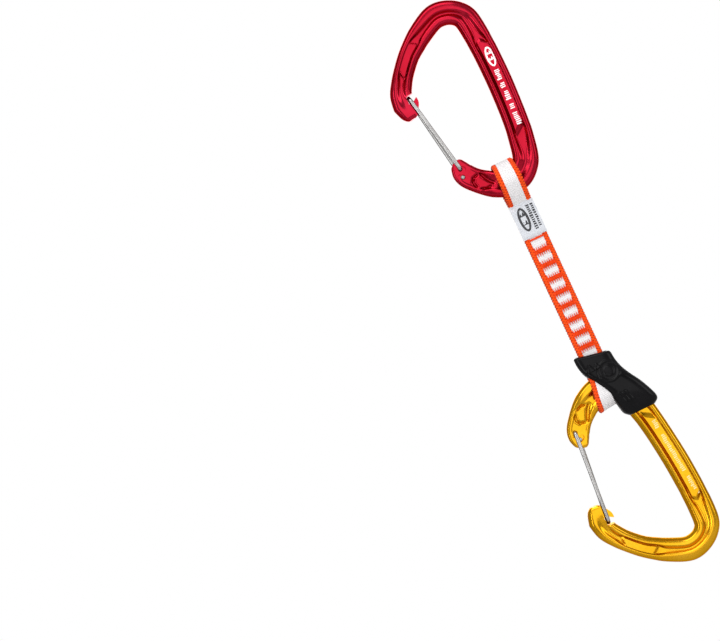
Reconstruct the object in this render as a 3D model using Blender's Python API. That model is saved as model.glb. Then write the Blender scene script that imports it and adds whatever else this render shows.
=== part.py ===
"""Climbing quickdraw: two wire-gate carabiners on a short sewn sling.

Metres, +Z up. The draw hangs along -Z from the inside of the upper carabiner,
whose inner apex is the origin. +X is the spine side, -Y is the front face.
Both carabiners share one shape; the lower one is turned over about X.
"""
import math

import bmesh
import bpy
from mathutils import Vector

MM = 0.001
GAP = 0.30            # clearance between pieces that touch on the real object, mm

# ---- driving dimensions, mm and degrees ------------------------------------
TOP_LEAN = -1.5              # carabiner centre line against the sling
BOTTOM_LEAN = 6.6
BASKET_APEX = (-0.5, -11.8)  # inner apex of the rope end, carabiner frame
BOTTOM_BASKET = (2.9, -258.6)

WIRE_R = 0.95
HOLE_R = 1.25
HOLE_NEAR = (-19.0, -75.0)   # wire holes, carabiner frame
HOLE_FAR = (-19.4, -78.9)
GATE_TIP = (-27.7, -35.8)    # centre of the wire's closed end
LEG_Y_HINGE = 3.85           # half spacing of the wire legs
LEG_Y_TIP = 2.65
GATE_OPEN = 40.0
PLATE_HALF = 2.6             # half thickness of the hinge plate
WEB_HALF = 1.35              # half thickness of the nose hook

TAPE_W = 11.1
TAPE_T = 1.7
SLING_X = -1.9
TOP_BAR_Z = -76.6            # centre of each bar that the sling wraps
BOTTOM_BAR_Z = -182.4
TACK_PITCH = 6.9
TACK_LENGTH = 2.7
TACK_WIDTH = 8.0
TACK_PROUD = 0.5
LABEL_TOP, LABEL_BOTTOM = -88.2, -104.9
LABEL_T = 0.4

# Carabiner stations from the hinge end round to the nose, in its own frame:
# u toward the spine, v up, width in the plane, full depth, depth of the side
# trough and of the raised pad inside it (both per face).
STATIONS = [
    # u,     v,     width, depth, trough, pad
    (-19.6, -70.9,   3.4,   4.6,   0.0,   0.0),
    (-19.3, -72.0,   6.0,   5.2,   0.0,   0.0),
    (-19.0, -74.2,   8.4,   5.2,   0.0,   0.0),
    (-18.4, -76.9,  10.2,   5.2,   0.0,   0.0),
    (-17.0, -79.5,  10.8,   5.2,   0.0,   0.0),
    (-14.5, -82.2,  10.9,   5.2,   0.0,   0.0),
    (-11.2, -84.9,  11.5,   5.4,   0.0,   0.0),
    (-6.9, -87.5,   12.4,   7.4,   0.9,   0.9),
    (-0.9, -89.0,   13.5,   7.6,   1.5,   1.5),
    (4.7, -88.2,    13.0,   7.8,   1.7,   1.7),
    (8.7, -85.2,    12.3,   8.0,   1.9,   1.9),
    (11.0, -80.9,   12.0,   8.2,   2.0,   2.0),
    (12.6, -71.5,   11.9,   8.2,   2.0,   2.0),
    (13.1, -66.5,   11.7,   8.2,   2.0,   1.1),
    (13.5, -58.0,   11.6,   8.2,   2.0,   1.0),
    (13.65, -45.0,  11.7,   8.2,   2.0,   1.0),
    (13.2, -32.0,   11.7,   8.2,   2.0,   1.0),
    (12.75, -26.0,  11.7,   8.3,   2.0,   1.1),
    (12.25, -20.5,  11.8,   8.4,   2.1,   2.1),
    (11.0, -13.2,   11.7,   8.6,   2.1,   2.1),
    (8.6, -9.4,     11.3,   8.8,   2.0,   2.0),
    (4.6, -6.9,     11.3,   8.8,   2.0,   2.0),
    (-0.2, -6.0,    11.6,   8.8,   2.0,   2.0),
    (-4.6, -7.1,    11.4,   8.7,   1.9,   1.9),
    (-11.4, -11.1,  11.0,   8.6,   1.7,   1.7),
    (-15.4, -14.1,  10.5,   8.4,   1.1,   0.6),
    (-20.2, -18.3,   9.8,   8.4,   0.8,   0.4),
    (-25.0, -24.0,   9.6,   8.4,   0.8,   0.4),
    (-27.9, -28.3,   9.8,   8.4,   1.3,   1.3),
    (-30.2, -33.2,   9.9,   8.4,   0.8,   0.8),
    (-30.4, -38.2,  11.0,   8.2,   0.3,   0.3),
    (-29.8, -41.9,   8.8,   8.0,   0.0,   0.0),
    (-29.4, -44.2,   6.2,   7.4,   0.0,   0.0),
    (-29.2, -45.4,   3.2,   6.0,   0.0,   0.0),
]

POCKET = [(-16.7, -82.2), (-15.3, -80.3), (-11.4, -80.3), (-9.4, -82.8),
          (-7.9, -86.3), (-9.6, -88.0), (-12.5, -88.1), (-15.5, -85.4)]
POCKET_DEPTH = 0.9
NOTCH = [(-29.0, -34.4), (-20.0, -34.4), (-20.0, -37.0), (-25.2, -37.7),
         (-27.2, -38.9), (-28.7, -38.4)]
LEG_RECESS = [(-29.6, -33.7), (-29.2, -38.5), (-28.4, -42.0), (-27.5, -47.0),
              (-18.0, -47.0), (-18.0, -33.7)]

# Each tape loop: the rounded stretch of one layer's centre line (half depth, half
# height) about the bar it wraps, then the points (y, dz) where the layers close up.
TOP_ROUND = (8.85, 8.85)
TOP_CLOSE = [(6.3, -6.4), (4.0, -9.0), (2.0, -11.2), (1.03, -13.0), (1.0, -14.8)]
BOTTOM_ROUND = (6.55, 8.9)
BOTTOM_CLOSE = [(6.0, 5.0), (3.9, 9.2), (1.4, 12.1), (1.0, 13.6)]

# Keeper sections: left x and z, right x and z, half depth.
KEEPER = [
    (-9.5, -163.6,  6.0, -166.9, 4.5),
    (-10.1, -164.7, 6.7, -168.1, 5.2),
    (-9.9, -168.0,  7.3, -171.2, 5.9),
    (-8.8, -172.0,  9.0, -175.6, 7.2),
    (-6.5, -176.0, 11.2, -179.8, 8.5),
    (-4.1, -180.4, 13.4, -183.9, 8.8),
    (-2.4, -184.4, 15.2, -187.7, 8.7),
    (-1.3, -188.8, 16.7, -191.2, 8.1),
    (-0.6, -192.4, 17.4, -193.8, 7.3),
    (0.6, -195.6,  17.1, -195.8, 6.6),
    (2.2, -196.8,  15.8, -196.8, 6.0),
]


# ---- helpers ---------------------------------------------------------------
def clear_scene():
    for obj in list(bpy.data.objects):
        bpy.data.objects.remove(obj, do_unlink=True)


def material(name, colour, metallic, roughness):
    mat = bpy.data.materials.new(name)
    mat.use_nodes = True
    shader = mat.node_tree.nodes["Principled BSDF"]
    shader.inputs["Base Color"].default_value = (*colour, 1.0)
    shader.inputs["Metallic"].default_value = metallic
    shader.inputs["Roughness"].default_value = roughness
    return mat


def catmull(rows, steps):
    """Points along a smooth curve through rows, steps per span."""
    padded = [rows[0]] + list(rows) + [rows[-1]]
    out = []
    for i in range(len(rows) - 1):
        a, b, c, d = padded[i:i + 4]
        for k in range(steps):
            t = k / steps
            out.append(tuple(
                0.5 * (2 * q + (r - p) * t + (2 * p - 5 * q + 4 * r - s) * t * t
                       + (3 * q - p - 3 * r + s) * t ** 3)
                for p, q, r, s in zip(a, b, c, d)))
    out.append(tuple(rows[-1]))
    return out


def smoothstep(t):
    t = min(1.0, max(0.0, t))
    return t * t * (3.0 - 2.0 * t)


def top_frame(u, v, y):
    """Carabiner frame to draw frame for the upper carabiner, mm."""
    a = math.radians(TOP_LEAN)
    du, dv = u - BASKET_APEX[0], v - BASKET_APEX[1]
    return (du * math.cos(a) - dv * math.sin(a), y, du * math.sin(a) + dv * math.cos(a))


def bottom_frame(u, v, y):
    """The lower carabiner: the same shape turned over about X, then leaned."""
    a = math.radians(BOTTOM_LEAN)
    du, dv = u - BASKET_APEX[0], BASKET_APEX[1] - v
    return (BOTTOM_BASKET[0] + du * math.cos(a) - dv * math.sin(a), -y,
            BOTTOM_BASKET[1] + du * math.sin(a) + dv * math.cos(a))


def finish_object(name, bm, origin, mat, smooth_deg):
    """Make an object from a bmesh in mm, with its origin at a point in mm."""
    bmesh.ops.recalc_face_normals(bm, faces=bm.faces)
    for vert in bm.verts:
        vert.co = (vert.co - Vector(origin)) * MM
    mesh = bpy.data.meshes.new(name)
    bm.to_mesh(mesh)
    bm.free()
    mesh.materials.append(mat)
    mesh.shade_smooth()
    mesh.set_sharp_from_angle(angle=math.radians(smooth_deg))
    obj = bpy.data.objects.new(name, mesh)
    obj.location = Vector(origin) * MM
    bpy.context.scene.collection.objects.link(obj)
    return obj


def loft(name, rings, mat, origin=(0, 0, 0), closed=False, smooth_deg=35):
    """Skin a list of equal rings of points; ends are capped unless closed."""
    bm = bmesh.new()
    loops = [[bm.verts.new(p) for p in ring] for ring in rings]
    count = len(loops[0])
    pairs = list(zip(loops, loops[1:]))
    if closed:
        pairs.append((loops[-1], loops[0]))
    for a, b in pairs:
        for i in range(count):
            j = (i + 1) % count
            bm.faces.new((a[i], a[j], b[j], b[i]))
    if not closed:
        bm.faces.new(loops[0])
        bm.faces.new(loops[-1])
    return finish_object(name, bm, origin, mat, smooth_deg)


def prism(name, outline, y0, y1, mat, frame):
    """Outline in the carabiner frame extruded from y0 to y1."""
    rings = [[frame(u, v, y) for u, v in outline] for y in (y0, y1)]
    return loft(name, rings, mat)


def cut(target, cutters):
    for cutter in cutters:
        cutter.hide_render = True
        cutter.display_type = "WIRE"
        mod = target.modifiers.new("cut_" + cutter.name, "BOOLEAN")
        mod.operation = "DIFFERENCE"
        mod.solver = "EXACT"
        mod.object = cutter


def tube(name, path, radius, mat, origin, sides=8):
    """Round wire along a path of points in mm."""
    points = [Vector(p) for p in path]
    rings = []
    side = None
    for i, point in enumerate(points):
        ahead = points[min(i + 1, len(points) - 1)]
        behind = points[max(i - 1, 0)]
        tangent = (ahead - behind).normalized()
        if side is None:
            side = tangent.cross(Vector((1, 0, 0))).normalized()
        side = (side - tangent * side.dot(tangent)).normalized()
        other = tangent.cross(side)
        rings.append([point + (side * math.cos(a) + other * math.sin(a)) * radius
                      for a in (2 * math.pi * k / sides for k in range(sides))])
    return loft(name, rings, mat, origin=origin, smooth_deg=50)


# ---- carabiners ------------------------------------------------------------
def section(width, depth, trough, pad):
    """Half profile from outer to inner edge: offset from centre, height."""
    w, h, k = width / 2, depth / 2, width / 11.7
    edge = h * 0.42
    return [
        (w, edge), (w - 0.45 * k, h - 1.0 * k), (w - 1.3 * k, h), (w - 2.5 * k, h),
        (w - 3.2 * k, h - pad), (w - 7.5 * k, h - pad), (w - 8.1 * k, h - trough),
        (w - 8.7 * k, h - trough), (-w + 2.3 * k, h), (-w + 1.3 * k, h),
        (-w + 0.45 * k, h - 1.0 * k), (-w, edge)]


def carabiner_rings(frame, rows, grow=0.0):
    """Rings square to the centre line; grow makes a plain oversize envelope."""
    rings = []
    for i, (u, v, width, depth, trough, pad) in enumerate(rows):
        u1, v1 = rows[min(i + 1, len(rows) - 1)][:2]
        u0, v0 = rows[max(i - 1, 0)][:2]
        length = math.hypot(u1 - u0, v1 - v0)
        nu, nv = (v1 - v0) / length, (u0 - u1) / length
        if grow:
            half = section(width + 2 * grow, depth + 2 * grow, 0.0, 0.0)
        else:
            half = section(width, depth, trough, pad)
        profile = half + [(n, -y) for n, y in reversed(half)]
        rings.append([frame(u + nu * n, v + nv * n, y) for n, y in profile])
    return rings


def hinge_pivot():
    return tuple((a + b) / 2 for a, b in zip(HOLE_NEAR, HOLE_FAR))


def slot_outline(hole):
    """Curved slot swept by a wire end while the gate opens."""
    pu, pv = hinge_pivot()
    start = math.atan2(hole[1] - pv, hole[0] - pu)
    radius = math.hypot(hole[0] - pu, hole[1] - pv)
    end = start - math.radians(GATE_OPEN)
    arc = [start + (end - start) * k / 3 for k in range(4)]

    def around(reach, angles, centre=(pu, pv)):
        return [(centre[0] + reach * math.cos(a), centre[1] + reach * math.sin(a))
                for a in angles]

    far_cap = around(radius, [end])[0]
    near_cap = around(radius, [start])[0]
    return (around(radius + HOLE_R, arc)
            + around(HOLE_R, [end - math.pi * k / 4 for k in (1, 2, 3)], far_cap)
            + around(radius - HOLE_R, reversed(arc))
            + around(HOLE_R, [start + math.pi - math.pi * k / 4 for k in (1, 2, 3)], near_cap))


def build_carabiner(name, frame, origin, mat, tool):
    body = loft(name, carabiner_rings(frame, catmull(STATIONS, 2)), mat,
                origin=origin, smooth_deg=32)
    cutters = [prism(name + "_slot_near", slot_outline(HOLE_NEAR), -6, 6, tool, frame),
               prism(name + "_slot_far", slot_outline(HOLE_FAR), -6, 6, tool, frame),
               prism(name + "_notch", NOTCH, -6, 6, tool, frame)]
    floor = PLATE_HALF - POCKET_DEPTH
    for side, tag in ((-1, "front"), (1, "back")):
        cutters.append(prism(name + "_recess_" + tag, LEG_RECESS,
                             side * WEB_HALF, side * 6, tool, frame))
        cutters.append(prism(name + "_pocket_" + tag, POCKET,
                             side * floor, side * 6, tool, frame))
    cut(body, cutters)
    return body


def gate_path():
    """Wire from the near hole, up one leg, round the tip and down the other."""
    (nu, nv), (fu, fv), (tu, tv) = HOLE_NEAR, HOLE_FAR, GATE_TIP
    end = PLATE_HALF - 0.4
    length = math.hypot(tu - nu, tv - nv)
    du, dv = (tu - nu) / length, (tv - nv) / length
    bu, bv = tu - du * LEG_Y_TIP, tv - dv * LEG_Y_TIP
    bend = 1.5
    path = [(nu, nv, end), (nu, nv, -LEG_Y_HINGE + bend)]
    for k in (1, 2, 3):
        a = math.pi / 2 * k / 3
        reach = bend * (1 - math.cos(a))
        path.append((nu + du * reach, nv + dv * reach,
                     -LEG_Y_HINGE + bend - bend * math.sin(a)))
    for k in range(7):
        a = math.pi * k / 6
        reach = LEG_Y_TIP * math.sin(a)
        path.append((bu + du * reach, bv + dv * reach, -LEG_Y_TIP * math.cos(a)))
    length = math.hypot(bu - fu, bv - fv)
    du, dv = (bu - fu) / length, (bv - fv) / length
    for k in (3, 2, 1):
        a = math.pi / 2 * k / 3
        reach = bend * (1 - math.cos(a))
        path.append((fu + du * reach, fv + dv * reach,
                     LEG_Y_HINGE - bend + bend * math.sin(a)))
    return path + [(fu, fv, LEG_Y_HINGE - bend), (fu, fv, -end)]


def build_gate(name, frame, mat):
    pu, pv = hinge_pivot()
    return tube(name, [frame(*p) for p in gate_path()], WIRE_R, mat, frame(pu, pv, 0))


# ---- sling -----------------------------------------------------------------
def sling_centre_x(z):
    """The tape leans a little toward the gate where it wraps the lower bar."""
    return SLING_X - 3.0 * smoothstep((-171.0 - z) / 16.0)


def sling_tilt(z):
    """Slope of the tape's width, following the lower bar."""
    return math.radians(BOTTOM_LEAN) * smoothstep((-169.0 - z) / 9.0)


def loop_points(bar_z, size, close, way):
    """One layer's control points from the loop's apex to where the layers meet."""
    half_y, half_z = size
    last = 110 if way > 0 else 100
    angles = [math.radians(a) for a in range(0, last, 20)]
    arc = [(half_y * math.sin(a), way * half_z * math.cos(a)) for a in angles]
    return [(y, bar_z + dz) for y, dz in arc + close]


def bottom_layer():
    """The lower loop's layer from its apex up to the sewn part."""
    return catmull(loop_points(BOTTOM_BAR_Z, BOTTOM_ROUND, BOTTOM_CLOSE, -1), 2)


def sling_path():
    """Closed centre line (y, z) from the top apex down the back and up the front."""
    top = catmull(loop_points(TOP_BAR_Z, TOP_ROUND, TOP_CLOSE, 1), 2)
    down = top + bottom_layer()[::-1]
    return down + [(-y, z) for y, z in reversed(down[1:-1])]


def tape_rings(path, width_at, half_t, rise=0.0):
    rings = []
    for i, (y, z) in enumerate(path):
        y1, z1 = path[(i + 1) % len(path)]
        y0, z0 = path[i - 1]
        length = math.hypot(y1 - y0, z1 - z0)
        ny, nz = (z0 - z1) / length, (y1 - y0) / length
        half = width_at(z) / 2
        tilt, cx = sling_tilt(z), sling_centre_x(z)
        t = half_t + rise
        profile = [(-half, 0.4), (-half + 0.9, 1), (half - 0.9, 1), (half, 0.4),
                   (half, -0.4), (half - 0.9, -1), (-half + 0.9, -1), (-half, -0.4)]
        rings.append([(cx + s * math.cos(tilt), y + ny * t * n,
                       z + nz * t * n + s * math.sin(tilt)) for s, n in profile])
    return rings


def tape_width(z):
    """The tape gathers where it bends over the upper bar and inside the keeper."""
    top = smoothstep((z - (TOP_BAR_Z + 1.0)) / 7.0)
    bottom = smoothstep((-170.0 - z) / 10.0)
    return TAPE_W - 1.3 * top - 2.3 * bottom


def tack_positions():
    """Centre height and length of each bar tack, top to bottom."""
    rows = [(-91.5, 2.0), (-98.4, 2.0), (-105.9, 1.1)]
    return rows + [(-112.0 - TACK_PITCH * k, TACK_LENGTH) for k in range(9)]


def box_rings(x, z, half_w, half_l, ys):
    corners = ((-1, -1), (1, -1), (1, 1), (-1, 1))
    return [[(x + half_w * a, y, z + half_l * b) for a, b in corners] for y in ys]


def build_tack(name, z, length, face, mat):
    """Two pads of thread, one on each face, joined through the tape."""
    x, w, h = SLING_X, TACK_WIDTH / 2, length / 2
    top = face + TACK_PROUD
    rings = box_rings(x, z, w - 0.3, h - 0.2, [-top])
    rings += box_rings(x, z, w, h, [-top + 0.2, -face])
    rings += box_rings(x, z, w - 0.8, h - 0.35, [-face, face])
    rings += box_rings(x, z, w, h, [face, top - 0.2])
    rings += box_rings(x, z, w - 0.3, h - 0.2, [top])
    return loft(name, rings, mat, origin=(x, 0, z), smooth_deg=25)


def build_sling(tape_mat, thread_mat, tool):
    origin = (SLING_X, 0, TOP_BAR_Z)
    path = sling_path()
    sling = loft("sling_webbing", tape_rings(path, tape_width, TAPE_T / 2), tape_mat,
                 origin=origin, closed=True, smooth_deg=40)
    face = 1.0 + TAPE_T / 2 + GAP
    slots = []
    for number, (z, length) in enumerate(tack_positions(), 1):
        build_tack("bar_tack_%02d" % number, z, length, face, thread_mat)
        rings = box_rings(SLING_X, z, TACK_WIDTH / 2 - 0.5, length / 2 - 0.05, [-4, 4])
        slots.append(loft("sling_slot_%02d" % number, rings, tool))
    cut(sling, slots)
    return sling


def build_label(mat):
    """Flat patch on the front of the tape, lying over the hidden tacks."""
    low = 1.0 + TAPE_T / 2 + GAP + LABEL_T / 2
    high = low + TACK_PROUD + GAP
    dip = 0.9
    path = [(high, LABEL_TOP), (high, LABEL_BOTTOM + 1.9), (low, LABEL_BOTTOM + dip),
            (low, LABEL_BOTTOM)]
    half, t = TAPE_W / 2 - 0.15, LABEL_T / 2
    rings = [[(SLING_X - half, -y - t, z), (SLING_X + half, -y - t, z),
              (SLING_X + half, -y + t, z), (SLING_X - half, -y + t, z)] for y, z in path]
    return loft("label", rings, mat, origin=(SLING_X, -high, (LABEL_TOP + LABEL_BOTTOM) / 2),
                smooth_deg=40)


# ---- keeper ----------------------------------------------------------------
def keeper_rings():
    """Rounded sections stacked down the keeper."""
    rings = []
    for xl, zl, xr, zr, half in catmull(KEEPER, 2):
        ring = []
        for k in range(20):
            a = 2 * math.pi * (k + 0.5) / 20
            c, s = math.cos(a), math.sin(a)
            px = math.copysign(abs(c) ** 0.45, c)
            py = math.copysign(abs(s) ** 0.45, s)
            t = (px + 1) / 2
            ring.append((xl + (xr - xl) * t, py * half, zl + (zr - zl) * t))
        rings.append(ring)
    return rings


def loop_chamber_rings():
    """Envelope of the tape and the tacks from above the keeper to the bottom apex."""
    margin = TAPE_T / 2 + GAP + 0.05
    inner = 1.0 + TAPE_T / 2 + TACK_PROUD + 2 * GAP
    path = bottom_layer()
    half = []
    for i, (y, z) in enumerate(path):
        y1, z1 = path[min(i + 1, len(path) - 1)]
        y0, z0 = path[max(i - 1, 0)]
        length = math.hypot(y1 - y0, z1 - z0)
        out_y = y + margin * (z1 - z0) / length
        out_z = z - margin * (y1 - y0) / length
        if z > BOTTOM_BAR_Z:
            out_y = max(out_y, inner)
        half.append((out_y, out_z))
    half[0] = (0.0, path[0][1] - margin)
    half.append((inner, -158.0))
    outline = half + [(-y, z) for y, z in reversed(half[1:])]
    rings = []
    for s in (-TAPE_W / 2 - 0.35, TAPE_W / 2 + 0.35):
        rings.append([(sling_centre_x(z) + s * math.cos(sling_tilt(z)), y,
                       z + s * math.sin(sling_tilt(z))) for y, z in outline])
    return rings


def build_keeper(mat, tool, origin):
    keeper = loft("rubber_keeper", keeper_rings(), mat, origin=origin, smooth_deg=40)
    span = [row for row in catmull(STATIONS, 2) if row[1] < -60.0 and row[0] > -12.5]
    passage = loft("keeper_bar_passage", carabiner_rings(bottom_frame, span, grow=0.35), tool)
    chamber = loft("keeper_sling_chamber", loop_chamber_rings(), tool)
    cut(keeper, [passage, chamber])
    return keeper


def build():
    clear_scene()
    red = material("red_anodised_aluminium", (0.75, 0.015, 0.06), 0.85, 0.3)
    gold = material("gold_anodised_aluminium", (0.85, 0.42, 0.02), 0.85, 0.3)
    steel = material("stainless_wire", (0.62, 0.62, 0.62), 1.0, 0.25)
    tape = material("woven_tape", (0.85, 0.85, 0.84), 0.0, 0.85)
    thread = material("orange_thread", (0.9, 0.12, 0.02), 0.0, 0.75)
    paper = material("label_fabric", (0.66, 0.69, 0.72), 0.0, 0.8)
    rubber = material("black_rubber", (0.02, 0.02, 0.022), 0.0, 0.55)
    tool = material("cutter", (0.5, 0.5, 0.5), 0.0, 0.5)

    bar = bottom_frame(-0.9, -89.0, 0)
    build_carabiner("top_carabiner_body", top_frame, (0, 0, 0), red, tool)
    build_gate("top_wire_gate", top_frame, steel)
    build_carabiner("bottom_carabiner_body", bottom_frame, bar, gold, tool)
    build_gate("bottom_wire_gate", bottom_frame, steel)
    build_sling(tape, thread, tool)
    build_label(paper)
    build_keeper(rubber, tool, bar)


build()
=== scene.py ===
"""Climbing quickdraw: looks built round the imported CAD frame.

Lengths in this script are millimetres in the row frame unless a name says otherwise;
meshes are scaled to metres when they are made. +Z runs up the sling, +X is the
carabiners' spine side and -Y is the front face.
"""

import random
from math import atan2, copysign, cos, dist, exp, hypot, inf, pi, radians, sin, sqrt

import bmesh
import bpy
from mathutils import Matrix, Vector


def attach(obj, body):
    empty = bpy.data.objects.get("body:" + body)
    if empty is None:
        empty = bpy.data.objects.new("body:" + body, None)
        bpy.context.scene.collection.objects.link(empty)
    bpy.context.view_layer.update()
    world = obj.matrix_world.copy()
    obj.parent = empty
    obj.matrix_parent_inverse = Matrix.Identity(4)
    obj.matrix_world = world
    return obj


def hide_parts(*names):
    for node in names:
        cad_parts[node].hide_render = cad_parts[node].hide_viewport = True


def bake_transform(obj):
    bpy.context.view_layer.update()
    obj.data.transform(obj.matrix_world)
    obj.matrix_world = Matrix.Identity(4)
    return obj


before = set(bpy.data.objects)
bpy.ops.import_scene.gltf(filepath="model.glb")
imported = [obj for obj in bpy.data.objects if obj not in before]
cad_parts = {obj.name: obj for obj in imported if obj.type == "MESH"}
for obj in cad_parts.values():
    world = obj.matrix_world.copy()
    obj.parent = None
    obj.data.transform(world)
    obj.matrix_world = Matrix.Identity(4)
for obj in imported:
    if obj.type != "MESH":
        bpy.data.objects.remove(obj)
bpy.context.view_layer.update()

MM = 0.001

# ---- camera and stage ----
VIEW_CENTRE = (-91.0, 0.0, -106.0)
VIEW_ROLL = 25.0  # the object lies turned by this much, degrees
VIEW_DISTANCE = 1200.0
VIEW_WIDTH = 329.9  # width of the picture at the object
SENSOR = 36.0
FLOOR_Z = -450
FLOOR_RADIUS = 700
LIGHT_TARGET = (0, 0, -0.13)  # metres
WORLD_LIGHT = 0.28  # strength as light on the object
WORLD_MIRRORED = 0.60  # strength in reflections
WORLD_SEEN = 1.0  # strength behind the object
SOFTBOXES = [  # name, place and size in metres, power in watts
    ("key_front", (0.02, -1.40, 0.02), (0.80, 1.25), 5.8),
    ("top_front", (-0.15, -0.60, 1.00), (1.50, 0.90), 14.0),
    ("left_strip", (-1.05, -0.80, 0.10), (0.35, 1.00), 6.0),
    ("right_strip", (1.10, -0.65, 0.00), (0.60, 1.00), 5.5),
    ("key_back", (0.10, 1.40, 0.10), (0.90, 0.90), 5.6),
]

# ---- carabiners, in their own frame: u toward the spine, v up ----
TOP_LEAN = -1.5
BOTTOM_LEAN = 6.6
BASKET_APEX = (-0.5, -11.8)
BOTTOM_BASKET = (2.9, -258.6)
HOLE_NEAR = (-19.0, -75.0)
HOLE_FAR = (-19.4, -78.9)
HOLE_R = 1.25
GATE_OPEN = 40.0
GATE_TIP = (-27.7, -35.8)
WIRE_R = 0.95
LEG_Y_HINGE = 3.85
LEG_Y_TIP = 2.65
PLATE_HALF = 2.6
WEB_HALF = 1.35
END_SUNK = 0.4  # the wire's ends stop this far inside the plate
LEG_BEND = 1.5  # radius of the bend above each hole
BEND_STEPS = 7
TIP_STEPS = 16
WIRE_SIDES = 20
DOME_ANGLES = (80, 55, 28)  # sections of the wire's rounded ends, degrees
DOME_REACH = 0.5  # how far they stand out, of the radius
BODY_SHARP = 50  # edges sharper than this stay hard, degrees
SLOT_STEPS = 8
CUT_HALF = 6  # cutters reach past both faces of the body
RING_STEP = 0.4
STATION_STEPS = 12

# Stations from the hinge end to the nose: u, v, width, depth, side trough, outer and
# inner flange width, radius of the outer and inner edge, softness of the trough walls.
STATIONS = [
    (-19.6, -70.9,   3.4, 4.6, 0.00, 1.2, 1.2, 1.0, 1.0, 0.10),
    (-19.3, -72.0,   6.0, 5.2, 0.00, 1.5, 1.5, 1.0, 1.0, 0.10),
    (-19.0, -74.2,   8.4, 5.2, 0.00, 1.6, 1.6, 1.0, 1.0, 0.10),
    (-18.4, -76.9,  10.2, 5.2, 0.00, 1.7, 1.7, 1.0, 1.0, 0.10),
    (-17.0, -79.5,  10.8, 5.2, 0.18, 1.9, 1.8, 1.1, 1.1, 0.07),
    (-14.5, -82.2,  10.9, 5.2, 0.30, 2.1, 1.9, 1.2, 1.2, 0.07),
    (-11.2, -84.9,  11.5, 5.4, 0.35, 2.5, 2.2, 1.5, 1.5, 0.09),
    (-6.9, -87.5,   12.4, 7.4, 0.90, 3.1, 2.6, 2.0, 2.0, 0.25),
    (-0.9, -89.0,   13.5, 7.6, 1.25, 3.6, 2.9, 2.2, 2.2, 0.46),
    (4.7, -88.2,    13.0, 7.8, 1.30, 3.6, 2.9, 2.2, 2.2, 0.48),
    (8.7, -85.2,    12.3, 8.0, 1.40, 3.2, 2.7, 2.2, 2.1, 0.50),
    (11.0, -80.9,   12.0, 8.2, 1.55, 2.8, 2.5, 2.2, 2.0, 0.46),
    (12.6, -71.5,   11.9, 8.2, 2.00, 2.5, 2.4, 2.1, 2.0, 0.20),
    (13.1, -66.5,   11.7, 8.2, 2.10, 2.5, 2.4, 2.0, 2.0, 0.17),
    (13.5, -58.0,   11.6, 8.2, 2.10, 2.5, 2.4, 2.0, 2.0, 0.17),
    (13.65, -45.0,  11.7, 8.2, 2.10, 2.5, 2.4, 2.0, 2.0, 0.17),
    (13.2, -32.0,   11.7, 8.2, 2.10, 2.5, 2.4, 2.0, 2.0, 0.17),
    (12.75, -26.0,  11.7, 8.3, 2.00, 2.6, 2.4, 2.0, 2.0, 0.14),
    (12.25, -20.5,  11.8, 8.4, 1.70, 2.9, 2.5, 2.1, 2.0, 0.38),
    (11.0, -13.2,   11.7, 8.6, 1.45, 3.4, 2.7, 2.3, 2.1, 0.48),
    (8.6, -9.4,     11.3, 8.8, 1.40, 3.9, 2.9, 2.4, 2.2, 0.50),
    (4.6, -6.9,     11.3, 8.8, 1.40, 4.2, 3.1, 2.4, 2.3, 0.50),
    (-0.2, -6.0,    11.6, 8.8, 1.40, 4.4, 3.2, 2.4, 2.4, 0.50),
    (-4.6, -7.1,    11.4, 8.7, 1.40, 4.2, 3.2, 2.4, 2.4, 0.50),
    (-11.4, -11.1,  11.0, 8.6, 1.40, 3.2, 3.1, 2.2, 2.4, 0.42),
    (-15.4, -14.1,  10.5, 8.4, 1.40, 2.4, 2.9, 1.9, 2.3, 0.20),
    (-20.2, -18.3,   9.8, 8.4, 1.20, 2.2, 2.8, 1.8, 2.2, 0.16),
    (-25.0, -24.0,   9.6, 8.4, 1.60, 2.2, 2.7, 1.8, 2.2, 0.20),
    (-27.9, -28.3,   9.8, 8.4, 1.50, 2.4, 2.6, 2.0, 2.1, 0.44),
    (-30.3, -33.2,  10.3, 8.4, 1.25, 2.8, 2.2, 2.3, 2.0, 0.44),
    (-30.1, -38.2,  12.2, 8.2, 0.45, 3.0, 2.0, 2.4, 1.8, 0.44),
    (-30.1, -41.6,   9.9, 8.0, 0.05, 2.6, 1.6, 2.3, 1.4, 0.42),
    (-29.9, -44.0,   7.3, 7.4, 0.00, 2.0, 1.4, 1.8, 1.3, 0.40),
    (-29.7, -45.4,   4.0, 6.0, 0.00, 1.1, 1.0, 1.0, 0.9, 0.40),
]
PAD_DEPTH = 1.0  # spine pad below the flanges
ARM_PAD_DEPTH = 0.55
PAD_EDGE = 0.74  # share of the trough that the pad fills, from outside
PAD_FADE = 0.10
PAD_WALL = 0.13  # share of the trough taken by the pad's outer wall
SPINE_SIDE = 6.0  # beyond this u a point is on the spine
SPINE_PAD_TOP = (12.5, -23.0, 0.75, 2.2)  # u and v of its point, slope, edge fade
SPINE_PAD_END = (11.5, -71.6, 0.78, 3.8)  # u and v on its slanted end, slope, edge fade
ARM_SIDE = (-8.0, -40.0)  # the arm's pad lies left of this u and above this v
ARM_START = (-15.9, -13.0)  # u and v where the arm's pad begins
ARM_WAY = (0.76, 0.65)  # its direction: shares toward -u and -v
ARM_LEDGE = (0.35, 0.8)  # slant and edge fade where it begins
ARM_CHEVRON = (17.6, 0.75, -0.4, 1.6)  # length, slope, middle and edge fade at its end
FLANGE_SHARE = 0.45  # widest flange, of the body's width
ROUND_SHARE = 0.92  # largest edge radius, of the flange's width
EDGE_ANGLES = (4, 75)  # span of each rounded edge, degrees
EDGE_STEPS = 8
TROUGH_STEPS = 32
LIP = (0.30, 0.997)  # flange's last point: from the trough, height share
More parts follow.
